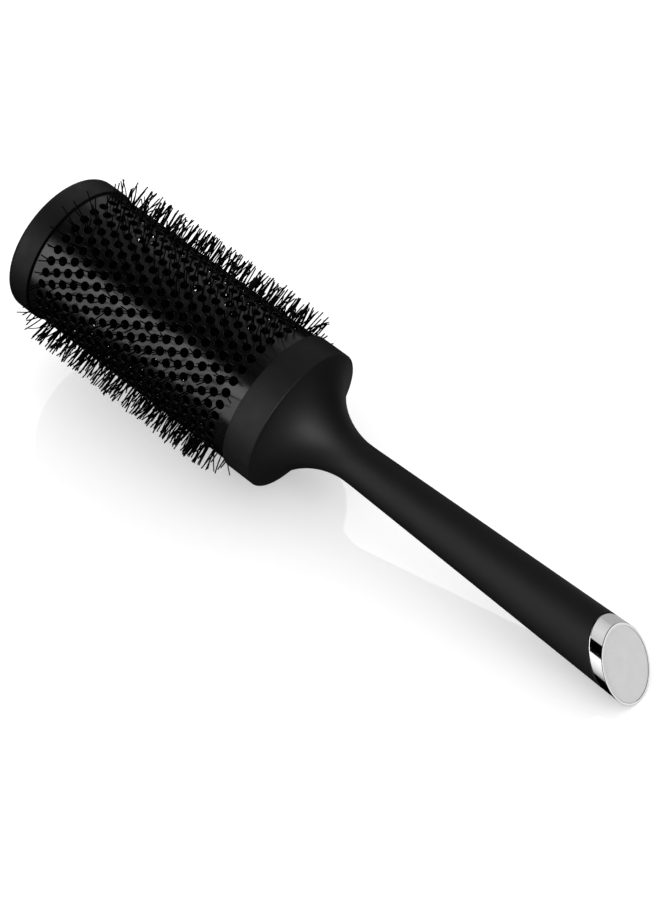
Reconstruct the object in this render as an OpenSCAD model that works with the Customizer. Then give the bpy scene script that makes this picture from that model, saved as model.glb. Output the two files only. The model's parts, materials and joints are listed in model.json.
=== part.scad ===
// Round barrel brush: a vented ceramic-coated barrel on a twisted-wire bristle core,
// a soft-touch handle and a slanted metal end cap.
// The brush lies as it does on a table, on its last bristle ring and the lower edge of its end cap.
// +X runs from the tip to the handle end, +Z is up, and the XZ plane is its plane of symmetry.

/* [Barrel] */
// Outer diameter of the barrel
barrel_d = 55; // [50:0.5:60]
// Wall thickness of the barrel
barrel_wall = 0.8; // [0.6:0.1:1.2]
// Length of barrel left showing between the tip cap and the collar
barrel_show = 98.2; // [97:0.1:102]

/* [Vents] */
// Number of vent rings along the barrel
ring_count = 21; // [5:1:21]
// Vent holes in each ring
vents_per_ring = 35; // [25:1:35]
// Diameter of a vent hole
vent_d = 3.4; // [2.6:0.1:3.6]
// Distance from the tip cap to the first ring of vents
first_ring_gap = 5.8; // [4:0.1:7]
// Distance from one ring of vents to the next
ring_step = 4.285; // [4.1:0.005:4.3]

/* [Bristles] */
// Diameter over the tips of the bristles
bristle_d = 71; // [68:0.5:78]
// Diameter of a bristle tuft where it leaves the core
tuft_root_d = 0.5; // [0.3:0.05:0.55]
// Diameter of a bristle tuft at its tips
tuft_tip_d = 1.8; // [1:0.1:2.2]
// Diameter of each wire of the twisted core
wire_d = 1.6; // [1.2:0.1:1.8]
// Length of one full twist of the core wires
wire_lead = 14; // [10:1:24]

/* [Tip cap and collar] */
// How far the tip cap and the collar stand out from the barrel
rim_step = 1; // [0.8:0.1:1.4]
// Length of the tip cap
cap_length = 10.5; // [10:0.5:14]
// Radius of the tip cap's rounded edge
cap_edge_r = 2.5; // [2:0.5:4]
// Depth of the shallow dish in the tip cap's end
cap_dish = 0.6; // [0.2:0.1:1]
// Length of the collar
collar_length = 11.8; // [11.5:0.1:14]

/* [Handle] */
// Length from the collar to the middle of the slanted end face
handle_length = 142.5; // [130:0.1:160]
// Diameter of the handle at its thinnest, behind the shoulder
throat_d = 15.9; // [14.5:0.1:18]
// Diameter of the handle at its end
handle_end_d = 23.4; // [20:0.1:24]
// Radius of the shoulder's outer edge
shoulder_edge_r = 0.4; // [0.3:0.1:0.6]
// Thickness of the soft-touch grip
grip_wall = 2.4; // [1.8:0.1:3]

/* [End cap] */
// Angle of the end face away from square to the handle
face_slant = 41; // [30:1:42]
// Thickness of the end cap along the handle
end_cap_length = 5.6; // [5:0.1:8]
// Width of the polished rim around the end face
face_rim = 0.7; // [0.4:0.1:1.2]

/* [Hidden] */

$fn = 96;
barrel_r = barrel_d / 2;
bore_r = barrel_r - barrel_wall;
rim_r = barrel_r + rim_step;
bristle_r = bristle_d / 2;
throat_r = throat_d / 2;
handle_end_r = handle_end_d / 2;

// Stations along the axis, counted from the tip
cap_wall = 2.4;
barrel_start = cap_length - 6;
collar_start = cap_length + barrel_show;
collar_end = collar_start + collar_length;
barrel_end = collar_end - 2.4;
plug_length = 8;
plug_wall = 2;
web_r = bore_r - 1;
plug_start = collar_start - 3.4;
first_ring = cap_length + first_ring_gap;
last_ring = first_ring + (ring_count - 1) * ring_step;
face_middle = collar_end + handle_length;

// Control points of the shoulder's curve: along the axis from the collar, and in from the rim
// or out from the throat
shoulder_from = 0.4;
shoulder_in = 0.6;
flare_at = 7.2;
flare_out = 0.9;
slim_at = 23.8;
throat_at = 26.3;
// The handle's straight taper starts here, a little wider than the throat
taper_from = 30;
taper_out = 0.03;

// Core wires, ferrules and the hubs that hold the roots of the bristles
wire_r = wire_d / 2;
wire_orbit_r = wire_r + 0.02;
core_bore_r = 2 * wire_r + 0.1;
hub_r = 3.2;
hub_gap = 0.2;
ferrule_r = 3.4;
tip_ferrule_start = cap_length - 5;
tip_ferrule_length = 8;
handle_ferrule_start = last_ring + ring_step / 2 + 0.6;
handle_ferrule_length = 8;
core_start = tip_ferrule_start + 0.5;
core_end = handle_ferrule_start + handle_ferrule_length - 0.5;

// Rivets that pin the barrel to the plugs inside its ends
rivet_r = 1.2;
rivet_count = 3;
rivet_turn = 60;
rivet_length = plug_wall + barrel_wall - 0.1;
tip_rivet_at = cap_length - 2;
barrel_rivet_at = collar_start + 5;

// Boss of the barrel plug, which comes through the lip of the collar
boss_r = 19;

// Hexagonal tang of the handle core, the screw that holds it and the spigot of the end cap
tang_r = 9;
tang_length = 4.4;
spigot_r = 4.5;
spigot_length = 16;
spigot_sunk = 3;
screw_r = 1.8;
screw_head_at = handle_ferrule_start + handle_ferrule_length + 0.1;
screw_head_length = 2;
screw_length = 24;
hex_key = 2.2;
hex_depth = 1.2;
face_plate_depth = 0.8;
face_plate_sunk = 0.1;

// The brush lies tilted, with the last bristle ring and the end cap's lower edge on the table
face_low = face_middle + handle_end_r * tan(face_slant);
rest_at = last_ring + tuft_tip_d / 2;
rest_r = bristle_r * cos(180 / vents_per_ring);
lay_tilt = atan((rest_r - handle_end_r) / (face_low - rest_at));
tip_reach = cap_edge_r - cap_edge_r * cos(lay_tilt) + (rim_r - cap_edge_r) * sin(lay_tilt);
end_reach = face_low * cos(lay_tilt) - handle_end_r * sin(lay_tilt);
lay_x = (tip_reach - end_reach) / 2;
lay_z = rest_r * cos(lay_tilt) + rest_at * sin(lay_tilt);

// Straight taper of the handle, from behind the throat to a little past the end face
taper_start = collar_end + taper_from;
taper = (handle_end_r - throat_r - taper_out) / (face_low - taper_start);
overshoot = 4;

function ring_name(i) = str("bristle_ring_", i < 10 ? "0" : "", i);
function ring_at(i) = first_ring + (i - 1) * ring_step;
// Every second ring is turned by half a pitch
function vent_angle(i, k) = (k + (i % 2 == 1 ? 0 : 0.5)) * 360 / vents_per_ring;

// Points on an arc about [x, y], from one angle to another
function arc(x, y, r, from, to, steps = 12) =
    [for (i = [0 : steps]) let (a = from + (to - from) * i / steps) [x + r * cos(a), y + r * sin(a)]];
// Point of a cubic Bezier curve
function bezier(p, t) =
    pow(1 - t, 3) * p[0] + 3 * pow(1 - t, 2) * t * p[1] + 3 * (1 - t) * t * t * p[2] + pow(t, 3) * p[3];
function curve(p, steps = 20) = [for (i = [0 : steps]) bezier(p, i / steps)];

// Outline of the shoulder and handle as [radius, station], from the collar to the end
function handle_outline(inset) = concat(
    arc(rim_r - shoulder_edge_r - inset, collar_end, shoulder_edge_r, 0, 60, 4),
    curve([
        [rim_r - shoulder_in - inset, collar_end + shoulder_from],
        [throat_r + flare_out - inset, collar_end + flare_at],
        [throat_r - inset, collar_end + slim_at],
        [throat_r - inset, collar_end + throat_at]
    ]),
    [[throat_r + taper_out - inset, taper_start],
     [handle_end_r + overshoot * taper - inset, face_low + overshoot]]
);
function reversed(list) = [for (i = [len(list) - 1 : -1 : 0]) list[i]];

// Lays a part made along +Z, from the tip up, on the table. Its +X side turns up.
module lay() {
    translate([lay_x, 0, lay_z])
        rotate([0, 90 + lay_tilt, 0])
            rotate([0, 0, 180])
                children();
}

module at(station) {
    translate([0, 0, station]) children();
}

module tube(outer, inner, length) {
    difference() {
        cylinder(r = outer, h = length);
        translate([0, 0, -1]) cylinder(r = inner, h = length + 2);
    }
}

// Everything on the tip side of a plane slanted like the end face, at a station on the axis
module slanted_block(station) {
    size = 600;
    at(station)
        rotate([0, face_slant, 0])
            translate([0, 0, -size / 2])
                cube(size, center = true);
}

module radial(angle, start) {
    rotate([0, 0, angle]) rotate([0, 90, 0]) translate([0, 0, start]) children();
}

// Rivets or their holes, from the inside of a plug outwards. slack is how far they run on.
module rivet_set(station, slack = 0) {
    at(station)
        for (k = [0 : rivet_count - 1])
            radial(rivet_turn + k * 360 / rivet_count, bore_r - plug_wall - slack)
                cylinder(r = rivet_r, h = rivet_length + 2 * slack);
}

module tip_cap() {
    dish_r = 15;
    dish_edge_r = 16;
    seat_r = bore_r - 1;
    inner_corner_r = bore_r - 2.5;
    floor_at = cap_wall + cap_dish;
    color([0.09, 0.09, 0.09]) lay()
        rotate_extrude()
            polygon(concat(
                [[0, cap_dish], [dish_r, cap_dish], [dish_edge_r, 0]],
                arc(rim_r - cap_edge_r, cap_edge_r, cap_edge_r, -90, 0),
                [[rim_r, cap_length], [barrel_r, cap_length], [barrel_r, barrel_start],
                 [seat_r, barrel_start], [inner_corner_r, floor_at], [0, floor_at]]
            ));
}

module tip_plug() {
    web = 2.4;
    hub = 6;
    window_count = 6;
    window_r = 5;
    window_orbit_r = 15;
    color([0.16, 0.16, 0.17]) lay()
        difference() {
            at(barrel_start)
                union() {
                    tube(bore_r, bore_r - plug_wall, plug_length);
                    cylinder(r = web_r, h = web);
                    cylinder(r = hub, h = plug_length);
                }
            at(tip_ferrule_start) cylinder(r = ferrule_r, h = plug_length);
            at(barrel_start - 1)
                for (k = [0 : window_count - 1])
                    rotate([0, 0, k * 360 / window_count])
                        translate([window_orbit_r, 0, 0])
                            cylinder(r = window_r, h = web + 2);
            rivet_set(tip_rivet_at, 1);
        }
}

module tip_rivets() {
    color([0.62, 0.62, 0.64]) lay()
        rivet_set(tip_rivet_at);
}

module tip_ferrule() {
    color([0.66, 0.62, 0.5]) lay()
        at(tip_ferrule_start) tube(ferrule_r, core_bore_r, tip_ferrule_length);
}

module barrel() {
    color([0.05, 0.05, 0.055]) lay()
        difference() {
            at(barrel_start) tube(barrel_r, bore_r, barrel_end - barrel_start);
            for (i = [1 : ring_count])
                at(ring_at(i))
                    for (k = [0 : vents_per_ring - 1])
                        radial(vent_angle(i, k), bore_r - 2)
                            cylinder(d = vent_d, h = barrel_wall + 4, $fn = 24);
            rivet_set(tip_rivet_at, 1);
            rivet_set(barrel_rivet_at, 1);
        }
}

// One wire of the twisted pair, swept along its helix
module core_wire(phase) {
    sides = 8;
    rings_per_turn = 9;
    length = core_end - core_start;
    rings = ceil(length / wire_lead * rings_per_turn);
    points = [for (i = [0 : rings]) let (z = length * i / rings, a = phase + 360 * z / wire_lead)
        for (j = [0 : sides - 1]) let (b = 360 * j / sides)
            [wire_orbit_r * cos(a) + wire_r * cos(b), wire_orbit_r * sin(a) + wire_r * sin(b), z]];
    walls = [for (i = [0 : rings - 1], j = [0 : sides - 1]) let (n = (j + 1) % sides)
        [i * sides + j, (i + 1) * sides + j, (i + 1) * sides + n, i * sides + n]];
    color([0.7, 0.7, 0.72]) lay()
        at(core_start)
            polyhedron(points, concat(
                [[for (j = [0 : sides - 1]) j]],
                walls,
                [[for (j = [sides - 1 : -1 : 0]) rings * sides + j]]
            ));
}

module core_wire_a() { core_wire(0); }

module core_wire_b() { core_wire(180); }

// The bristles that come out through one ring of vents, with the part of the core that grips them
module bristle_ring(i) {
    root_at = hub_r - 0.3;
    color([0.03, 0.03, 0.03]) lay()
        at(ring_at(i)) {
            translate([0, 0, -(ring_step - hub_gap) / 2])
                tube(hub_r, core_bore_r, ring_step - hub_gap);
            for (k = [0 : vents_per_ring - 1])
                radial(vent_angle(i, k), root_at)
                    cylinder(d1 = tuft_root_d, d2 = tuft_tip_d, h = bristle_r - root_at, $fn = 16);
        }
}

module handle_ferrule() {
    color([0.66, 0.62, 0.5]) lay()
        at(handle_ferrule_start) tube(ferrule_r, core_bore_r, handle_ferrule_length);
}

// Moulded plug in the barrel's handle end. Its boss comes through the collar to the handle core.
module barrel_plug() {
    web = 3;
    hub = 12;
    color([0.16, 0.16, 0.17]) lay()
        difference() {
            union() {
                at(plug_start) tube(bore_r, bore_r - plug_wall, barrel_end - plug_start);
                at(plug_start) cylinder(r = hub, h = barrel_end - plug_start);
                at(barrel_end - web) cylinder(r = web_r, h = web);
                at(barrel_end) cylinder(r = boss_r, h = collar_end - barrel_end);
            }
            at(plug_start - 1)
                cylinder(r = ferrule_r, h = screw_head_at + screw_head_length - plug_start + 1);
            at(plug_start) cylinder(r = screw_r, h = collar_end - plug_start + 1);
            at(collar_end - tang_length) tang(tang_length + 1);
            rivet_set(barrel_rivet_at, 1);
        }
}

module barrel_rivets() {
    color([0.62, 0.62, 0.64]) lay()
        rivet_set(barrel_rivet_at);
}

// Band over the barrel's handle end, with a lip behind it
module collar() {
    color([0.1, 0.1, 0.1]) lay()
        at(collar_start)
            difference() {
                cylinder(r = rim_r, h = collar_length);
                translate([0, 0, -1]) cylinder(r = barrel_r, h = barrel_end - collar_start + 1);
                cylinder(r = boss_r, h = collar_length + 1);
            }
}

module tang(length) {
    cylinder(r = tang_r, h = length, $fn = 6);
}

module handle_solid(inset) {
    rotate_extrude()
        polygon(concat([[0, collar_end]], handle_outline(inset), [[0, face_low + overshoot]]));
}

// Rigid core under the grip, from the flange behind the collar to the end cap
module handle_core() {
    color([0.2, 0.2, 0.21]) lay()
        difference() {
            union() {
                intersection() {
                    handle_solid(grip_wall);
                    slanted_block(face_middle - end_cap_length);
                }
                at(collar_end - tang_length) tang(tang_length + 1);
            }
            spigot();
            at(screw_head_at) cylinder(r = screw_r, h = screw_length);
        }
}

// Round spigot of the end cap, long enough to run out through the slanted face
module spigot() {
    start = face_middle - end_cap_length - spigot_length;
    at(start) cylinder(r = spigot_r, h = face_low - start);
}

// Self-tapping screw that pulls the tang of the handle core into the barrel plug
module core_screw() {
    color([0.7, 0.7, 0.72]) lay()
        difference() {
            at(screw_head_at) {
                cylinder(r = ferrule_r - 0.1, h = screw_head_length);
                cylinder(r = screw_r, h = screw_length);
            }
            at(screw_head_at)
                for (k = [0, 60, 120])
                    rotate([0, 0, k])
                        cube([hex_key, hex_key * tan(30), 2 * hex_depth], center = true);
        }
}

// Soft-touch skin over the shoulder and the handle
module grip() {
    color([0.07, 0.07, 0.07]) lay()
        intersection() {
            rotate_extrude()
                polygon(concat(handle_outline(0), reversed(handle_outline(grip_wall))));
            slanted_block(face_middle - end_cap_length);
        }
}

// The shallow space in the end cap's slanted face that the face plate fills
module face_recess() {
    difference() {
        handle_solid(face_rim);
        slanted_block(face_middle - face_plate_depth);
    }
}

module end_cap() {
    color([0.85, 0.85, 0.86]) lay()
        union() {
            difference() {
                intersection() {
                    handle_solid(0);
                    slanted_block(face_middle);
                }
                slanted_block(face_middle - end_cap_length);
                face_recess();
            }
            intersection() {
                spigot();
                slanted_block(face_middle - spigot_sunk);
            }
        }
}

module end_face() {
    color([0.75, 0.75, 0.75]) lay()
        intersection() {
            face_recess();
            slanted_block(face_middle - face_plate_sunk);
        }
}

tip_cap();
tip_plug();
tip_rivets();
tip_ferrule();
barrel();
core_wire_a();
core_wire_b();
for (i = [1 : ring_count])
    bristle_ring(i);
handle_ferrule();
barrel_plug();
barrel_rivets();
collar();
handle_core();
core_screw();
grip();
end_cap();
end_face();
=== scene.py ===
"""Looks for the round barrel brush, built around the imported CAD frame.

All lengths are in metres in the row frame: the brush lies on z = 0 with its tip towards -X.
Round pieces are described by stations counted along the brush's own axis from its tip.
"""

import json
import math
import random

import bmesh
import bpy
import numpy as np
from mathutils import Matrix, Vector


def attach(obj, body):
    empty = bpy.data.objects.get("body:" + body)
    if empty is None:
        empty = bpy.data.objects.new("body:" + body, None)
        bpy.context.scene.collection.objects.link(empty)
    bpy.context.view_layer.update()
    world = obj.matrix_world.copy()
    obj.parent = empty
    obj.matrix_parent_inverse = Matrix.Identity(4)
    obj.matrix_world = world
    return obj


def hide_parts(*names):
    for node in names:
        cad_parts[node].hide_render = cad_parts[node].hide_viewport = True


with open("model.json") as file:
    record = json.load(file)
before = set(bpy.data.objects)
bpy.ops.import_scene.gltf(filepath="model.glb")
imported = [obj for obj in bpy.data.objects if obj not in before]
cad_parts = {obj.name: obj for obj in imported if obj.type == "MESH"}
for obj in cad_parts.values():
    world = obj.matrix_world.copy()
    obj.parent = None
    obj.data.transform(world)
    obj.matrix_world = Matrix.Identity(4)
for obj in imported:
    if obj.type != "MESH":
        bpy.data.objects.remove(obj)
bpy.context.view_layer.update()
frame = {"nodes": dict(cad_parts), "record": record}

MM = 0.001
TURN = 2 * math.pi

# ---------------------------------------------------------------------------
# The brush's axis and the stations of its CAD nodes
# ---------------------------------------------------------------------------

collar_mount = next(m for m in frame["record"]["mounts"] if m["name"] == "collar_band")
AXIS = np.array(Vector(collar_mount["axis"]).normalized())
AXIS_POINT = np.array(collar_mount["pos_m"])
# Square to the axis
UP = np.array([-AXIS[2], 0.0, AXIS[0]])
SIDE = np.array([0.0, 1.0, 0.0])


def node_points(name):
    """Corners of a CAD node's mesh."""
    return np.array([v.co for v in frame["nodes"][name].data.vertices])


TIP = AXIS_POINT + AXIS * min((node_points("tip_cap") - AXIS_POINT) @ AXIS)


def span(name):
    """First and last station of a CAD node, counted from the tip."""
    stations = (node_points(name) - TIP) @ AXIS
    return stations.min(), stations.max()


def reach(name):
    """Largest radius of a CAD node about the axis."""
    away = node_points(name) - TIP
    return np.linalg.norm(away - np.outer(away @ AXIS, AXIS), axis=1).max()


def place(station, radius, angle):
    """Points at a station, a radius and an angle from UP towards SIDE. Arrays or numbers."""
    station, radius, angle = (np.asarray(v, float)[..., None] for v in (station, radius, angle))
    return TIP + AXIS * station + radius * (np.cos(angle) * UP + np.sin(angle) * SIDE)


RING_NAMES = sorted(n for n in frame["nodes"] if n.startswith("bristle_ring_"))
RING_STATIONS = [sum(span(n)) / 2 for n in RING_NAMES]
RING_STEP = (RING_STATIONS[-1] - RING_STATIONS[0]) / (len(RING_STATIONS) - 1)
VENTS_PER_RING = 35
VENT_PITCH = TURN / VENTS_PER_RING
VENT_R = 1.7 * MM

# Sizes that repeat the part's own
BARREL_R = reach("barrel")
BARREL_START, BARREL_END = span("barrel")
BARREL_WALL = 0.8 * MM
RIM_R = reach("collar")
COLLAR_START, COLLAR_END = span("collar")
CAP_END = span("tip_cap")[1]
BRISTLE_R = reach(RING_NAMES[0])
FACE_SLANT = math.radians(41)
END_R = 11.7 * MM
FACE_LOW = span("end_cap")[1]
FACE_MIDDLE = FACE_LOW - END_R * math.tan(FACE_SLANT)
END_CAP_LENGTH = 5.6 * MM
CAP_BACK = FACE_MIDDLE - END_CAP_LENGTH
THROAT_R = 7.95 * MM
FIT_GAP = 0.02 * MM


def vent_angle(ring, vent):
    """Every second ring is turned by half a pitch."""
    return (vent + 0.5 * (ring % 2)) * VENT_PITCH


# ---------------------------------------------------------------------------
# Mesh helpers
# ---------------------------------------------------------------------------

def mesh_piece(name, points, faces, slot, smooth_deg=35, merge=0.0):
    """A new piece from points and faces, shaded smooth below an angle, riding on the brush.

    slot names the material. Points closer than merge become one.
    """
    mesh = bpy.data.meshes.new(name)
    mesh.from_pydata([tuple(p) for p in points], [], faces)
    if merge:
        work = bmesh.new()
        work.from_mesh(mesh)
        bmesh.ops.remove_doubles(work, verts=work.verts, dist=merge)
        bmesh.ops.recalc_face_normals(work, faces=work.faces)
        work.to_mesh(mesh)
        work.free()
    mesh.polygons.foreach_set("use_smooth", [True] * len(mesh.polygons))
    mesh.set_sharp_from_angle(angle=math.radians(smooth_deg))
    mesh.update()
    piece = bpy.data.objects.new(name, mesh)
    bpy.context.scene.collection.objects.link(piece)
    mesh.materials.append(MATERIALS[slot])
    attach(piece, "root")
    return piece


def loops_to_faces(loop_count, size, closed_profile=False):
    """Quads between neighbouring closed loops of points, each loop holding size points."""
    faces = []
    last = loop_count if closed_profile else loop_count - 1
    for i in range(last):
        j = (i + 1) % loop_count
        for k in range(size):
            n = (k + 1) % size
            faces.append((i * size + k, i * size + n, j * size + n, j * size + k))
    return faces


# Steps around every round piece, and their angles
SEGMENTS = 256
ANGLES = np.linspace(0, TURN, SEGMENTS, endpoint=False)


def round_loop(radius, station):
    """A closed loop of points about the axis."""
    return place(np.full(SEGMENTS, station), np.full(SEGMENTS, radius), ANGLES)


def lathe(name, profile, slot):
    """A solid of revolution about the brush's axis from a closed profile of (radius, station).

    A profile that starts and ends on the axis is closed by a point at each end.
    """
    on_axis = profile[0][0] == 0 and profile[-1][0] == 0
    rows = profile[1:-1] if on_axis else profile
    points = np.concatenate([round_loop(radius, station) for radius, station in rows])
    faces = loops_to_faces(len(rows), SEGMENTS, closed_profile=not on_axis)
    if on_axis:
        first, last = len(points), len(points) + 1
        tips = [place(profile[0][1], 0, 0), place(profile[-1][1], 0, 0)]
        points = np.concatenate([points, np.array(tips).reshape(2, 3)])
        end = (len(rows) - 1) * SEGMENTS
        for k in range(SEGMENTS):
            n = (k + 1) % SEGMENTS
            faces.append((first, n, k))
            faces.append((last, end + k, end + n))
    return mesh_piece(name, points, faces, slot)


def arc(radius, station, r, start_deg, end_deg, steps):
    """Profile points on an arc about (radius, station)."""
    turns = np.radians(np.linspace(start_deg, end_deg, steps + 1))
    return [(radius + r * math.cos(t), station + r * math.sin(t)) for t in turns]


def bezier(controls, steps):
    """Points along a cubic Bezier curve."""
    a, b, c, d = (np.array(p, float) for p in controls)
    return [
        tuple((1 - t) ** 3 * a + 3 * (1 - t) ** 2 * t * b + 3 * (1 - t) * t * t * c + t ** 3 * d)
        for t in np.linspace(0, 1, steps + 1)
    ]


# ---------------------------------------------------------------------------
# Materials
# ---------------------------------------------------------------------------

# Most values of a noise texture lie between these
NOISE_LOW = 0.3
NOISE_HIGH = 0.7


class Shader:
    """A Principled material with short calls for the nodes that give it its detail."""

    def __init__(self, name, color, roughness, metallic=0.0, **constants):
        self.material = bpy.data.materials.new(name)
        self.material.use_nodes = True
        self.tree = self.material.node_tree
        self.shader = self.tree.nodes["Principled BSDF"]
        self.put("Base Color", (*color, 1))
        self.put("Roughness", roughness)
        self.put("Metallic", metallic)
        for socket, value in constants.items():
            self.put(socket.replace("_", " "), value)

    def put(self, socket, value):
        """Sets a shader socket to a constant."""
        self.shader.inputs[socket].default_value = value

    def node(self, kind, **settings):
        """A new node with its settings."""
        made = self.tree.nodes.new(kind)
        for key, value in settings.items():
            setattr(made, key, value)
        return made

    def link(self, source, target):
        """Joins an output to an input."""
        self.tree.links.new(source, target)

    def coordinates(self, scale=(1, 1, 1), angle=(0, 0, 0)):
        """Object coordinates, turned by angle and then scaled."""
        source = self.node("ShaderNodeTexCoord")
        turn = self.node("ShaderNodeMapping")
        turn.inputs["Rotation"].default_value = angle
        stretch = self.node("ShaderNodeMapping")
        stretch.inputs["Scale"].default_value = scale
        self.link(source.outputs["Object"], turn.inputs["Vector"])
        self.link(turn.outputs["Vector"], stretch.inputs["Vector"])
        return stretch.outputs["Vector"]

    def noise(self, scale, detail, roughness=0.5, at=None):
        """A noise texture's value, in plain object coordinates unless at is given."""
        made = self.node("ShaderNodeTexNoise")
        made.inputs["Scale"].default_value = scale
        made.inputs["Detail"].default_value = detail
        made.inputs["Roughness"].default_value = roughness
        self.link(at or self.coordinates(), made.inputs["Vector"])
        return made.outputs["Fac"]

    def spread(self, source, low, high):
        """Maps the middle of a noise value's range to low and high."""
        made = self.node("ShaderNodeMapRange")
        made.inputs["From Min"].default_value = NOISE_LOW
        made.inputs["From Max"].default_value = NOISE_HIGH
        made.inputs["To Min"].default_value = low
        made.inputs["To Max"].default_value = high
        self.link(source, made.inputs["Value"])
        return made.outputs["Result"]

    def color_from(self, factor, low, high):
        """Base colour between low and high."""
        made = self.node("ShaderNodeMix", data_type="RGBA")
        made.inputs[6].default_value = (*low, 1)
        made.inputs[7].default_value = (*high, 1)
        self.link(factor, made.inputs[0])
        self.link(made.outputs[2], self.shader.inputs["Base Color"])

    def roughness_from(self, value):
        """Roughness from a node's output."""
        self.link(value, self.shader.inputs["Roughness"])

    def bump(self, height, distance, strength):
        """Adds a bump layer over any layer already there. distance is its height in metres."""
        made = self.node("ShaderNodeBump")
        made.inputs["Strength"].default_value = strength
        made.inputs["Distance"].default_value = distance
        self.link(height, made.inputs["Height"])
        normal = self.shader.inputs["Normal"]
        if normal.is_linked:
            self.link(normal.links[0].from_socket, made.inputs["Normal"])
        self.link(made.outputs["Normal"], normal)


# Turns object coordinates so that X runs along the brush's axis
AXIS_TURN = (0.0, math.atan2(AXIS[2], AXIS[0]), 0.0)


def matte_black():
    """Fine-grained moulded black of the tip cap and the collar."""
    s = Shader("matte_black", (0.004, 0.004, 0.004), 0.52, Specular_IOR_Level=0.25)
    s.color_from(s.spread(s.noise(60, 4), 0, 1), (0.003, 0.003, 0.003), (0.005, 0.0048, 0.0048))
    s.roughness_from(s.spread(s.noise(240, 4), 0.47, 0.58))
    s.bump(s.noise(5200, 2, 0.6), 0.00002, 0.3)
    s.bump(s.noise(150, 3), 0.00004, 0.1)
    return s.material


def ceramic_black():
    """Glossy black ceramic coat over drawn aluminium."""
    s = Shader("ceramic_black", (0.005, 0.005, 0.0055), 0.24, Specular_IOR_Level=0.4,
               Coat_Weight=0.1, Coat_Roughness=0.12)
    streaks = s.coordinates(scale=(18, 260, 260), angle=AXIS_TURN)
    s.color_from(s.spread(s.noise(90, 4), 0, 1), (0.004, 0.004, 0.0045), (0.008, 0.008, 0.0085))
    s.roughness_from(s.spread(s.noise(1, 4, at=streaks), 0.18, 0.28))
    s.bump(s.noise(1600, 3, 0.55), 0.00002, 0.18)
    return s.material


def bristle_nylon():
    """Black nylon filament."""
    s = Shader("bristle_nylon", (0.003, 0.003, 0.003), 0.42, Specular_IOR_Level=0.15)
    s.color_from(s.spread(s.noise(500, 2), 0, 1), (0.002, 0.002, 0.002), (0.004, 0.004, 0.004))
    s.roughness_from(s.spread(s.noise(900, 3), 0.35, 0.52))
    s.bump(s.noise(4000, 2), 0.00002, 0.3)
    return s.material


def soft_touch():
    """Soft-touch lacquer of the grip, with a faint mottling from handling."""
    s = Shader("soft_touch", (0.004, 0.004, 0.004), 0.54, Specular_IOR_Level=0.25)
    s.color_from(s.spread(s.noise(35, 5), 0, 1), (0.003, 0.003, 0.003), (0.0045, 0.0045, 0.0045))
    s.roughness_from(s.spread(s.noise(55, 5, 0.6), 0.5, 0.6))
    s.bump(s.noise(3800, 2, 0.6), 0.000015, 0.28)
    return s.material


def chrome():
    """Polished plating with faint hairlines from handling."""
    s = Shader("chrome", (0.92, 0.92, 0.93), 0.05, metallic=1.0)
    hairlines = s.coordinates(scale=(40, 900, 900), angle=AXIS_TURN)
    s.color_from(s.spread(s.noise(80, 3), 0, 1), (0.89, 0.89, 0.90), (0.94, 0.94, 0.95))
    s.roughness_from(s.spread(s.noise(1, 4, at=hairlines), 0.03, 0.09))
    s.bump(s.noise(300, 2), 0.00001, 0.05)
    return s.material


def satin_metal():
    """Bead-blasted face of the end cap."""
    s = Shader("satin_metal", (0.78, 0.78, 0.79), 0.27, metallic=1.0)
    s.color_from(s.spread(s.noise(260, 4), 0, 1), (0.77, 0.77, 0.78), (0.8, 0.8, 0.81))
    s.roughness_from(s.spread(s.noise(420, 4), 0.27, 0.31))
    s.bump(s.noise(9000, 2, 0.6), 0.00001, 0.12)
    return s.material


def inner_plastic():
    """Moulded black plastic of the plugs and the handle core."""
    s = Shader("inner_plastic", (0.05, 0.05, 0.055), 0.5)
    s.color_from(s.spread(s.noise(120, 3), 0, 1), (0.04, 0.04, 0.045), (0.065, 0.065, 0.07))
    s.roughness_from(s.spread(s.noise(300, 3), 0.42, 0.6))
    s.bump(s.noise(2500, 2), 0.00002, 0.25)
    return s.material


def bright_steel():
    """Drawn steel wire, rivets and screw."""
    s = Shader("bright_steel", (0.6, 0.6, 0.62), 0.3, metallic=1.0)
    drawn = s.coordinates(scale=(60, 1500, 1500), angle=AXIS_TURN)
    s.color_from(s.spread(s.noise(150, 3), 0, 1), (0.5, 0.5, 0.52), (0.66, 0.66, 0.68))
    s.roughness_from(s.spread(s.noise(1, 3, at=drawn), 0.22, 0.42))
    s.bump(s.noise(1, 2, at=drawn), 0.00001, 0.3)
    return s.material


def brass():
    """Plain brass of the crimped ferrules."""
    s = Shader("brass", (0.7, 0.58, 0.3), 0.32, metallic=1.0)
    s.color_from(s.spread(s.noise(200, 3), 0, 1), (0.6, 0.48, 0.24), (0.75, 0.62, 0.34))
    s.roughness_from(s.spread(s.noise(500, 3), 0.25, 0.42))
    s.bump(s.noise(1800, 2), 0.00002, 0.2)
    return s.material


MATERIALS = {
    make.__name__: make()
    for make in (matte_black, ceramic_black, bristle_nylon, soft_touch, chrome, satin_metal,
                 inner_plastic, bright_steel, brass)
}

for part in frame["record"]["subparts"]:
    node = frame["nodes"][part["node"]]
    for holder in node.material_slots:
        holder.material = MATERIALS[part["material_slot"]]

# ---------------------------------------------------------------------------
# Barrel: a perforated tube whose vents have softened edges
# ---------------------------------------------------------------------------

# Mesh steps along each side of a vent's six-sided cell
CELL_SIDE = 4
# Width of the softened edge around a vent
VENT_EDGE = 0.12 * MM
# A softened edge's middle lies this share of its width in from both faces, and a loop this many
# widths in from the edge keeps the face beyond it flat
EDGE_MIDDLE = 0.3
FLAT_FROM = 1.3


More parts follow.
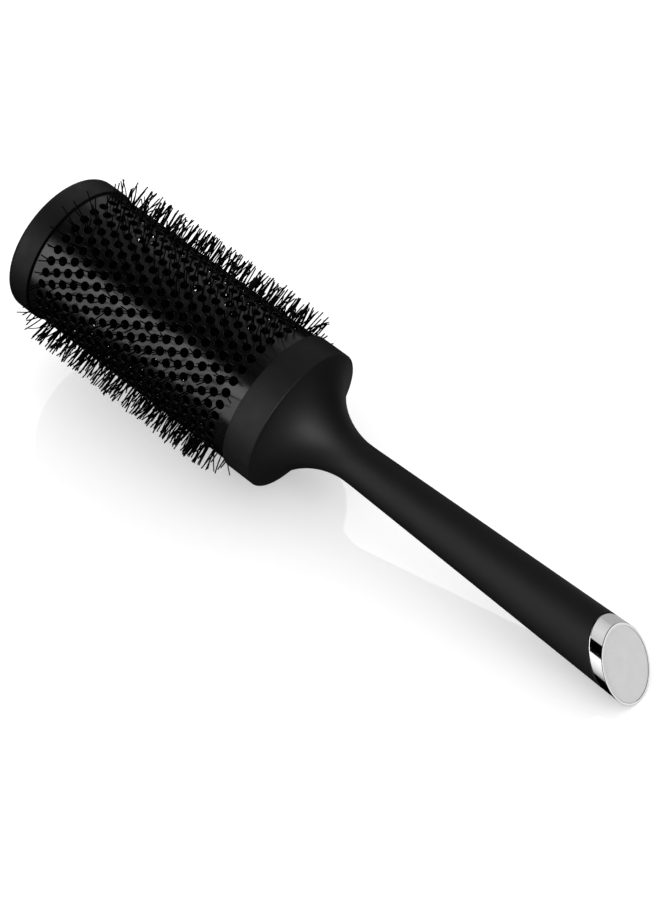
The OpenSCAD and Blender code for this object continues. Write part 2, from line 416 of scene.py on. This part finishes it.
def cell_outline():
    """The six-sided cell around a vent as (along, around) offsets from the vent's middle."""
    half_pitch = BARREL_R * VENT_PITCH / 2
    near = RING_STEP / 2 - half_pitch ** 2 / (2 * RING_STEP)
    far = RING_STEP - near
    corners = [(-near, half_pitch), (-far, 0), (-near, -half_pitch),
               (near, -half_pitch), (far, 0), (near, half_pitch)]
    outline = []
    for a, b in zip(corners, corners[1:] + corners[:1]):
        for i in range(CELL_SIDE):
            t = i / CELL_SIDE
            outline.append((a[0] + (b[0] - a[0]) * t, a[1] + (b[1] - a[1]) * t))
    return np.array(outline)


def barrel_mesh():
    """Points and faces of the barrel: one cell around each vent and a plain band at each end."""
    outline = cell_outline()
    size = len(outline)
    turns = np.arctan2(outline[:, 1], outline[:, 0])
    circle = np.stack([np.cos(turns), np.sin(turns)], axis=1)
    inner_r = BARREL_R - BARREL_WALL
    rings = [
        (outline, BARREL_R),
        (circle * (VENT_R + VENT_EDGE * FLAT_FROM), BARREL_R),
        (circle * (VENT_R + VENT_EDGE), BARREL_R),
        (circle * (VENT_R + VENT_EDGE * EDGE_MIDDLE), BARREL_R - VENT_EDGE * EDGE_MIDDLE),
        (circle * VENT_R, BARREL_R - VENT_EDGE),
        (circle * VENT_R, inner_r),
        (outline, inner_r),
    ]
    points, faces = [], []
    for i, station in enumerate(RING_STATIONS):
        for k in range(VENTS_PER_RING):
            base = len(points)
            for offsets, radius in rings:
                angle = vent_angle(i, k) + offsets[:, 1] / BARREL_R
                points.extend(place(station + offsets[:, 0], radius, angle))
            faces.extend(tuple(base + v for v in f) for f in loops_to_faces(len(rings), size))
    tip_side = outline[:2 * CELL_SIDE + 1]
    handle_side = outline[3 * CELL_SIDE:5 * CELL_SIDE + 1]
    plain_band(points, faces, tip_side, 0, BARREL_START)
    plain_band(points, faces, handle_side, len(RING_STATIONS) - 1, BARREL_END)
    return points, faces


def plain_band(points, faces, side, ring, end):
    """Closes the barrel between a ring's cells and its end, outside, inside and edge."""
    inner_r = BARREL_R - BARREL_WALL
    size = len(side)
    for k in range(VENTS_PER_RING):
        angle = vent_angle(ring, k) + side[:, 1] / BARREL_R
        zigzag = RING_STATIONS[ring] + side[:, 0]
        middle = (zigzag + end) / 2
        edge = np.full(size, end)
        rows = [(zigzag, BARREL_R), (middle, BARREL_R), (edge, BARREL_R),
                (edge, inner_r), (middle, inner_r), (zigzag, inner_r)]
        base = len(points)
        for stations, radius in rows:
            points.extend(place(stations, radius, angle))
        for r in range(len(rows) - 1):
            for j in range(size - 1):
                a = base + r * size + j
                faces.append((a, a + 1, a + 1 + size, a + size))


barrel_points, barrel_faces = barrel_mesh()
barrel = mesh_piece("barrel_shell", barrel_points, barrel_faces, "ceramic_black",
                    smooth_deg=50, merge=0.01 * MM)
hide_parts("barrel")

# ---------------------------------------------------------------------------
# Bristles: filaments gripped in the twisted core that fan out through the vents
# ---------------------------------------------------------------------------

FILAMENT_R = 0.25 * MM
# Filaments crowd together at the core, so each is drawn thicker at its root
ROOT_CROWDING = 2.6
# A tip's rounded end adds this to a filament and narrows it to this, as shares of its radius
TIP_ADDED = 0.8
TIP_NARROWED = 0.6
FILAMENTS_IN_A_VENT = (1, 2, 2, 3)
FILAMENT_SIDES = 6
# Points along a filament from its vent to its tip
FILAMENT_POINTS = 5
# Roots sit this far from the axis, shift along it by up to this share of a ring's step, and scatter
# about it by this angle in radians
ROOT_R = 2.4 * MM
ROOT_SHIFT = 0.3
ROOT_TURN = 0.25
# Filaments pass within this distance of the middle of their vent
VENT_SPREAD = 0.8 * MM
# Scatter of a filament's lean outside the barrel, and the share of it at the control point of its
# curve, halfway out
LEAN = 0.13
BOW_LEAN = 0.4
# Tips scatter about a radius just inside the part's own, and none lies outside TIP_MAX_R
TIP_MEAN_R = BRISTLE_R - 0.1 * MM
TIP_SCATTER = 0.4 * MM
TIP_MAX_R = BRISTLE_R + 0.7 * MM
# Share of the filaments in the outermost rings that are bent over towards the cap or the collar,
# and the range of their extra lean
BENT_SHARE = 0.15
BENT_LEAN = (0.4, 1.1)
# How far in a filament's tip comes for each unit of its bend
BEND_DROP = 2 * MM
# No filament's centre line comes nearer to the floor than this
FLOOR_CLEAR = 0.25 * MM
draw = random.Random(7)


def filament_path(station, angle, bend):
    """Centre line of one filament, from the core through its vent to its tip."""
    off = VENT_SPREAD * math.sqrt(draw.random())
    turn = draw.uniform(0, TURN)
    along, around = off * math.cos(turn), off * math.sin(turn)
    lean_along = draw.gauss(0, LEAN) + bend
    lean_around = draw.gauss(0, LEAN)
    tip_r = min(draw.gauss(TIP_MEAN_R, TIP_SCATTER), TIP_MAX_R) - abs(bend) * BEND_DROP
    out = tip_r - BARREL_R
    grip_shift = draw.uniform(-ROOT_SHIFT, ROOT_SHIFT) * RING_STEP
    root = place(station + grip_shift, ROOT_R, angle + draw.gauss(0, ROOT_TURN))
    vent = place(station + along, BARREL_R - BARREL_WALL / 2, angle + around / BARREL_R)
    bow = place(station + along + BOW_LEAN * lean_along * out, BARREL_R + 0.5 * out,
                angle + (around + BOW_LEAN * lean_around * out) / BARREL_R)
    tip = place(station + along + lean_along * out, tip_r,
                angle + (around + lean_around * out) / BARREL_R)
    path = [root]
    for t in np.linspace(0, 1, FILAMENT_POINTS):
        path.append((1 - t) ** 2 * vent + 2 * (1 - t) * t * bow + t * t * tip)
    return [np.array([p[0], p[1], max(p[2], FLOOR_CLEAR)]) for p in path]


def bend_at(ring):
    """Extra lean along the axis: a few filaments of the outermost rings are bent outwards."""
    outwards = {0: -1, len(RING_NAMES) - 1: 1}.get(ring, 0)
    if outwards and draw.random() < BENT_SHARE:
        return outwards * draw.uniform(*BENT_LEAN)
    return 0.0


def add_tube(points, faces, path):
    """A thin tube along a path, with a rounded end at its tip."""
    along = path[-1] - path[0]
    along = along / np.linalg.norm(along)
    across = np.cross(along, AXIS)
    across = across / np.linalg.norm(across)
    other = np.cross(along, across)
    turns = np.arange(FILAMENT_SIDES) / FILAMENT_SIDES * TURN
    circle = np.outer(np.cos(turns), across) + np.outer(np.sin(turns), other)
    rows = [(path[0], FILAMENT_R * ROOT_CROWDING)]
    rows += [(p, FILAMENT_R) for p in path[1:]]
    rows.append((path[-1] + along * FILAMENT_R * TIP_ADDED, FILAMENT_R * TIP_NARROWED))
    base = len(points)
    for centre, radius in rows:
        points.extend(centre + circle * radius)
    faces.extend(tuple(base + v for v in f) for f in loops_to_faces(len(rows), FILAMENT_SIDES))
    faces.append(tuple(base + k for k in reversed(range(FILAMENT_SIDES))))
    end = base + (len(rows) - 1) * FILAMENT_SIDES
    faces.append(tuple(end + k for k in range(FILAMENT_SIDES)))


for ring, name in enumerate(RING_NAMES):
    tuft_points, tuft_faces = [], []
    for vent in range(VENTS_PER_RING):
        for _ in range(draw.choice(FILAMENTS_IN_A_VENT)):
            path = filament_path(RING_STATIONS[ring], vent_angle(ring, vent), bend_at(ring))
            add_tube(tuft_points, tuft_faces, path)
    bristles = mesh_piece(name.replace("bristle_ring", "bristles"), tuft_points, tuft_faces,
                          "bristle_nylon", smooth_deg=60)
    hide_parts(name)

# ---------------------------------------------------------------------------
# Tip cap, collar and grip
# ---------------------------------------------------------------------------

CAP_EDGE_R = 2.5 * MM
CAP_FLOOR = 3 * MM
# The radius of the cap's hollow is this much less than the barrel's, at the barrel's seat and at
# the hollow's floor
CAP_SEAT = 1.8 * MM
CAP_DRAFT = 3.3 * MM
CAP_DISH = 0.6 * MM
DISH_R = 15 * MM
# The dish's middle as shares of its radius and depth
DISH_MIDDLE = ((0, 1), (0.5, 0.95), (0.9, 0.86))
# Controls of its slope up to the flat rim: how far outside DISH_R, and the share of its depth
DISH_SLOPE = ((0, 0.8), (0.5 * MM, 0.5), (0.6 * MM, 0), (1.4 * MM, 0))
EDGE_SOFT = 0.3 * MM
# Radius of the hole in the collar's lip, and the lip's thickness
BOSS_R = 19 * MM
LIP = 2.4 * MM
SHOULDER_EDGE_R = 0.4 * MM
GRIP_WALL = 2.4 * MM
# Controls of the shoulder's curve, counted inwards from the rim or outwards from the throat and
# along from the collar
SHOULDER_START = (0.6 * MM, 0.4 * MM)
SHOULDER_PULL = (0.9 * MM, 7.2 * MM)
THROAT_PULL = 23.8 * MM
THROAT_AT = 26.3 * MM
# A short stretch behind the throat swells very slightly up to the straight taper
SWELL_AT = 28 * MM
SWELL = 0.01 * MM
TAPER_AT = 30 * MM
TAPER_SWELL = 0.03 * MM
SHOULDER_STEPS = 48
TAPER_STEPS = 60
INNER_TAPER_STEPS = 8
# Softened edge of the skin beside the end cap
GRIP_SOFT = 0.12 * MM


def tip_cap_profile():
    """Closed moulding with a soft shallow dish in its end and a rounded mouth."""
    socket_r = BARREL_R + FIT_GAP
    return (
        [(DISH_R * share, CAP_DISH * depth) for share, depth in DISH_MIDDLE]
        + bezier([(DISH_R + outside, CAP_DISH * depth) for outside, depth in DISH_SLOPE], 8)
        + arc(RIM_R - CAP_EDGE_R, CAP_EDGE_R, CAP_EDGE_R, -90, 0, 20)
        + arc(RIM_R - EDGE_SOFT, CAP_END - EDGE_SOFT, EDGE_SOFT, 0, 90, 5)
        + [(socket_r, CAP_END), (socket_r, BARREL_START), (BARREL_R - CAP_SEAT, BARREL_START),
           (BARREL_R - CAP_DRAFT, CAP_FLOOR), (0, CAP_FLOOR)]
    )


def collar_profile():
    """Band over the barrel's handle end, with a softened front edge and a lip behind the barrel."""
    socket_r = BARREL_R + FIT_GAP
    return (
        [(BOSS_R, COLLAR_END), (BOSS_R, COLLAR_END - LIP),
         (socket_r, COLLAR_END - LIP), (socket_r, COLLAR_START)]
        + arc(RIM_R - EDGE_SOFT, COLLAR_START + EDGE_SOFT, EDGE_SOFT, -90, 0, 5)
        + [(RIM_R, COLLAR_END)]
    )


def grip_outline(inset):
    """Shoulder and throat of the handle, as far as the start of its straight taper."""
    edge = SHOULDER_EDGE_R
    throat = THROAT_R - inset
    start_in, start_at = SHOULDER_START
    pull_out, pull_at = SHOULDER_PULL
    return (
        arc(RIM_R - edge - inset, COLLAR_END, edge, 0, 60, 6)
        + bezier([(RIM_R - start_in - inset, COLLAR_END + start_at),
                  (throat + pull_out, COLLAR_END + pull_at),
                  (throat, COLLAR_END + THROAT_PULL),
                  (throat, COLLAR_END + THROAT_AT)], SHOULDER_STEPS)
        + [(throat + SWELL, COLLAR_END + SWELL_AT)]
    )


TAPER_START = COLLAR_END + TAPER_AT
TAPER = (END_R - THROAT_R - TAPER_SWELL) / (FACE_LOW - TAPER_START)
SETTLING_ROUNDS = 12


def taper_radius(station):
    """Radius of the handle's straight taper."""
    return THROAT_R + TAPER_SWELL + (station - TAPER_START) * TAPER


def slanted_station(middle, angle):
    """Station where a plane slanted like the end face meets the taper at an angle.

    Each round puts the radius at the last station back in, until it has settled.
    """
    station = middle
    for _ in range(SETTLING_ROUNDS):
        station = middle - math.tan(FACE_SLANT) * taper_radius(station) * np.cos(angle)
    return station


def taper_loops(middle, inset, steps):
    """Loops along the taper that turn by degrees into the slanted plane at middle."""
    end = slanted_station(middle, ANGLES)
    loops = []
    for t in np.linspace(0, 1, steps + 1):
        station = TAPER_START + (end - TAPER_START) * t
        loops.append(place(station, taper_radius(station) - inset, ANGLES))
    return loops


def grip_piece():
    """Soft skin from the collar to the end cap, with a softened edge beside the end cap."""
    outer = [round_loop(r, s) for r, s in grip_outline(0)]
    outer += taper_loops(CAP_BACK - GRIP_SOFT, 0, TAPER_STEPS)
    outer += taper_loops(CAP_BACK, GRIP_SOFT, 1)[1:]
    inner = [round_loop(r, s) for r, s in grip_outline(GRIP_WALL)]
    inner += taper_loops(CAP_BACK, GRIP_WALL, INNER_TAPER_STEPS)
    loops = outer + inner[::-1]
    faces = loops_to_faces(len(loops), SEGMENTS, closed_profile=True)
    return mesh_piece("grip_skin", np.concatenate(loops), faces, "soft_touch")


cap = lathe("tip_cap_moulding", tip_cap_profile(), "matte_black")
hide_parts("tip_cap")
collar = lathe("collar_moulding", collar_profile(), "matte_black")
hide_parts("collar")
grip = grip_piece()
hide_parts("grip")

# ---------------------------------------------------------------------------
# End cap: a slanted slab with a polished side and rim, and a satin face
# ---------------------------------------------------------------------------

# Width of the polished rim around the satin plate, and the widths of the softened edges
FACE_RIM = 0.7 * MM
RIM_SOFT = 0.15 * MM
BACK_SOFT = 0.5 * MM
PLATE_SOFT = 0.12 * MM
# The cap's side is flat from this many widths of the rim's edge behind the face
RIM_FLAT_FROM = 1.6
# The plate lies in a pocket, a little below the rim, with a gap around it
POCKET_DEPTH = 0.8 * MM
PLATE_SINK = 0.1 * MM
PLATE_GAP = 0.03 * MM
PLATE_BACK = FACE_MIDDLE - POCKET_DEPTH
PLATE_FRONT = FACE_MIDDLE - PLATE_SINK


def slanted_loop(middle, inset):
    """Loop on the taper in a plane slanted like the end face."""
    station = slanted_station(middle, ANGLES)
    radius = taper_radius(station)
    scale = (radius - inset) / radius
    return place(middle + (station - middle) * scale, radius * scale, ANGLES)


def slanted_slab(name, loops, back, front, slot):
    """A piece through slanted loops, closed to a point on the axis at its back and its front."""
    ends = np.array([place(back, 0, 0), place(front, 0, 0)]).reshape(2, 3)
    points = np.concatenate(loops + [ends])
    faces = loops_to_faces(len(loops), SEGMENTS)
    back_point, front_point = len(points) - 2, len(points) - 1
    last = (len(loops) - 1) * SEGMENTS
    for k in range(SEGMENTS):
        n = (k + 1) % SEGMENTS
        faces.append((back_point, n, k))
        faces.append((front_point, last + k, last + n))
    return mesh_piece(name, points, faces, slot)


def soft_edge(middle, soft, side):
    """Loops around a softened edge, from the cap's side to its flat end at middle.

    side is 1 where the cap's side lies towards the handle's end, and -1 towards the tip.
    """
    return [
        slanted_loop(middle + side * soft * (1 - math.sin(t)), soft * (1 - math.cos(t)))
        for t in np.linspace(0, math.pi / 2, 6)
    ]


end_cap_loops = (
    [slanted_loop(CAP_BACK, END_R / 2)]
    + soft_edge(CAP_BACK, BACK_SOFT, 1)[::-1]
    + [slanted_loop(CAP_BACK + BACK_SOFT * FLAT_FROM, 0)]
    + [slanted_loop(FACE_MIDDLE - RIM_SOFT * RIM_FLAT_FROM, 0)]
    + soft_edge(FACE_MIDDLE, RIM_SOFT, -1)
    + [slanted_loop(FACE_MIDDLE, FACE_RIM), slanted_loop(PLATE_BACK, FACE_RIM)]
)
end_cap = slanted_slab("end_cap_shell", end_cap_loops, CAP_BACK, PLATE_BACK, "chrome")
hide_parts("end_cap")

plate_edge = FACE_RIM + PLATE_GAP
end_face_loops = [
    slanted_loop(PLATE_BACK + FIT_GAP, plate_edge),
    slanted_loop(PLATE_FRONT - PLATE_SOFT, plate_edge),
    slanted_loop(PLATE_FRONT - PLATE_SOFT * EDGE_MIDDLE, plate_edge + PLATE_SOFT * EDGE_MIDDLE),
]
for inward in (0, 0.25, 0.5, 0.75):
    inset = plate_edge + PLATE_SOFT + inward * (END_R - plate_edge)
    end_face_loops.append(slanted_loop(PLATE_FRONT, inset))
end_face = slanted_slab("end_face_plate", end_face_loops, PLATE_BACK + FIT_GAP, PLATE_FRONT,
                        "satin_metal")
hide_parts("end_face")

# ---------------------------------------------------------------------------
# Floor, lights and camera
# ---------------------------------------------------------------------------

FLOOR_HALF = 2.2
# Share of the polish in the sheet's shading, and the polish's roughness
FLOOR_POLISH = 0.1
POLISH_ROUGHNESS = 0.02
# Radiance of the light from below
FLOOR_GLOW = 0.42


def floor():
    """A large white acrylic sheet, faintly polished and lit a little from below.

    It stays out of reflections and bounced light, so that it doesn't grey the black pieces, and
    casts no shadow, because some lamps reach below its level.
    """
    mesh = bpy.data.meshes.new("floor")
    corners = [(FLOOR_HALF * x, FLOOR_HALF * y, 0) for x, y in ((-1, -1), (1, -1), (1, 1), (-1, 1))]
    mesh.from_pydata(corners, [], [(0, 1, 2, 3)])
    sheet = bpy.data.objects.new("floor", mesh)
    bpy.context.scene.collection.objects.link(sheet)
    s = Shader("white_acrylic", (0.8, 0.8, 0.8), 0.6, Specular_IOR_Level=0.0,
               Emission_Color=(1, 1, 1, 1), Emission_Strength=FLOOR_GLOW)
    polish = s.node("ShaderNodeBsdfGlossy")
    polish.inputs["Roughness"].default_value = POLISH_ROUGHNESS
    both = s.node("ShaderNodeMixShader")
    both.inputs["Fac"].default_value = FLOOR_POLISH
    s.link(s.shader.outputs["BSDF"], both.inputs[1])
    s.link(polish.outputs["BSDF"], both.inputs[2])
    s.link(both.outputs["Shader"], s.tree.nodes["Material Output"].inputs["Surface"])
    mesh.materials.append(s.material)
    sheet.visible_glossy = False
    sheet.visible_diffuse = False
    sheet.visible_shadow = False
    return sheet


def softbox(name, centre, facing, width, height, brightness, roll_deg=0.0, spread_deg=180.0):
    """A flat rectangular lamp. brightness is its radiance, where 1 shows as white."""
    light = bpy.data.lights.new(name, "AREA")
    light.shape = "RECTANGLE"
    light.size = width
    light.size_y = height
    light.energy = math.pi * width * height * brightness
    light.spread = math.radians(spread_deg)
    lamp = bpy.data.objects.new(name, light)
    bpy.context.scene.collection.objects.link(lamp)
    lamp.location = centre
    look = Vector(facing).to_track_quat("-Z", "Y").to_matrix()
    lamp.rotation_euler = (look @ Matrix.Rotation(math.radians(roll_deg), 3, "Z")).to_euler()
    lamp.visible_camera = False
    return lamp


white_floor = floor()

# Two stacked boxes on the near side and one on the far side light the round black parts
softbox("near_high", (-0.777, -1.0, 0.745), (0, 1, 0), 1.0, 0.62, 2.85, roll_deg=22)
softbox("near_low", (-0.545, -1.0, 0.171), (0, 1, 0), 1.0, 0.62, 1.8, roll_deg=22)
softbox("far_side", (-1.08, 1.0, 0.85), (0, -1, 0), 1.65, 1.3, 0.4)
# Strips around the end cap show in its polish, and a low panel beyond it lights its satin face
softbox("near_strip", (-0.13, -1.0, -0.71), (0, 1, 0), 0.3, 2.0, 0.4, spread_deg=110)
softbox("far_strip", (-0.05, 1.0, -0.1), (0, -1, 0), 0.4, 2.2, 0.45)
softbox("top_strip", (0.04, 0.145, 1.0), (0, 0, -1), 0.2, 1.71, 0.48, spread_deg=150)
end_panel = softbox("end_panel", (0.78, 0.46, -0.08), (-0.81, -0.57, 0.11), 0.8, 0.8, 0.82)
# Broad boxes beyond the tip lighten the top of the cap, and of the barrel and collar a little
cap_fill = softbox("cap_fill", (-0.62, 0.45, 0.85), (0.5, -0.45, -0.8), 0.9, 1.2, 0.75)
barrel_fill = softbox("barrel_fill", (-0.62, 0.45, 0.85), (0.5, -0.45, -0.8), 0.9, 1.2, 0.22)
# A strong small box and a weak one above it model the flare of the shoulder
shoulder_box = softbox("shoulder_box", (0.83, -0.44, 0.38), (-0.83, 0.44, -0.34), 0.6, 0.7, 9.8)
shoulder_fill = softbox("shoulder_fill", (0.37, -0.53, 0.81), (-0.37, 0.53, -0.77), 0.6, 0.6, 1.15)

# The sheet has its own overhead light, which keeps it white right up to the brush
overhead = softbox("overhead", (0, 0, 2.5), (0, 0, -1), 9, 9, 1.0)

# These boxes are for the sides that the photo doesn't show
softbox("tip_side", (-1.1, -0.45, 0.45), (1, 0.35, -0.4), 0.8, 0.8, 0.8)
back_side = softbox("back_side", (0.9, 0.8, 0.5), (-0.9, -0.8, -0.45), 0.9, 0.9, 1.5)
end_side = softbox("end_side", (0.32, -0.78, 0.7), (-0.32, 0.78, -0.65), 0.6, 0.6, 0.8)

# These lamps light only the pieces they are meant for
for lamp, pieces in (
    (overhead, [white_floor]),
    (end_panel, [end_cap, end_face]),
    (end_side, [end_face]),
    (back_side, [cap, barrel]),
    (cap_fill, [cap]),
    (barrel_fill, [barrel, collar]),
    (shoulder_box, [grip, collar]),
    (shoulder_fill, [grip, collar]),
):
    group = bpy.data.collections.new(lamp.name + "_receivers")
    for piece in pieces:
        group.objects.link(piece)
    lamp.light_linking.receiver_collection = group

# A white backdrop that is seen behind the sheet and lights nothing
world = bpy.data.worlds.new("backdrop")
world.use_nodes = True
world.node_tree.nodes["Background"].inputs["Color"].default_value = (1, 1, 1, 1)
world.node_tree.nodes["Background"].inputs["Strength"].default_value = 1.0
world.cycles_visibility.diffuse = False
world.cycles_visibility.glossy = False
bpy.context.scene.world = world
bpy.context.scene.view_settings.view_transform = "Standard"

# The camera's place and turn are given in the brush's own directions
CAMERA_LENS_MM = 68
CAMERA_SENSOR_MM = 36
CAMERA_ALONG = 329.5 * MM
CAMERA_ABOVE = 467.2 * MM
CAMERA_ASIDE = -325.8 * MM
CAMERA_HEADING = math.radians(120.854)
CAMERA_DIP = math.radians(51.145)
CAMERA_ROLL = math.radians(-11.897)


def camera():
    """The camera, aimed by heading, dip and roll."""
    level = math.cos(CAMERA_HEADING) * AXIS + math.sin(CAMERA_HEADING) * SIDE
    ahead = Vector(math.cos(CAMERA_DIP) * level - math.sin(CAMERA_DIP) * UP)
    right = ahead.cross(Vector(UP)).normalized()
    down = ahead.cross(right)
    turned_right = math.cos(CAMERA_ROLL) * right + math.sin(CAMERA_ROLL) * down
    turned_down = math.cos(CAMERA_ROLL) * down - math.sin(CAMERA_ROLL) * right
    data = bpy.data.cameras.new("camera")
    data.lens = CAMERA_LENS_MM
    data.sensor_width = CAMERA_SENSOR_MM
    data.clip_start = 0.01
    eye = bpy.data.objects.new("camera", data)
    bpy.context.scene.collection.objects.link(eye)
    turn = Matrix((turned_right, -turned_down, -ahead)).transposed().to_4x4()
    spot = Vector(TIP + AXIS * CAMERA_ALONG + UP * CAMERA_ABOVE + SIDE * CAMERA_ASIDE)
    eye.matrix_world = Matrix.Translation(spot) @ turn
    bpy.context.scene.camera = eye


camera()
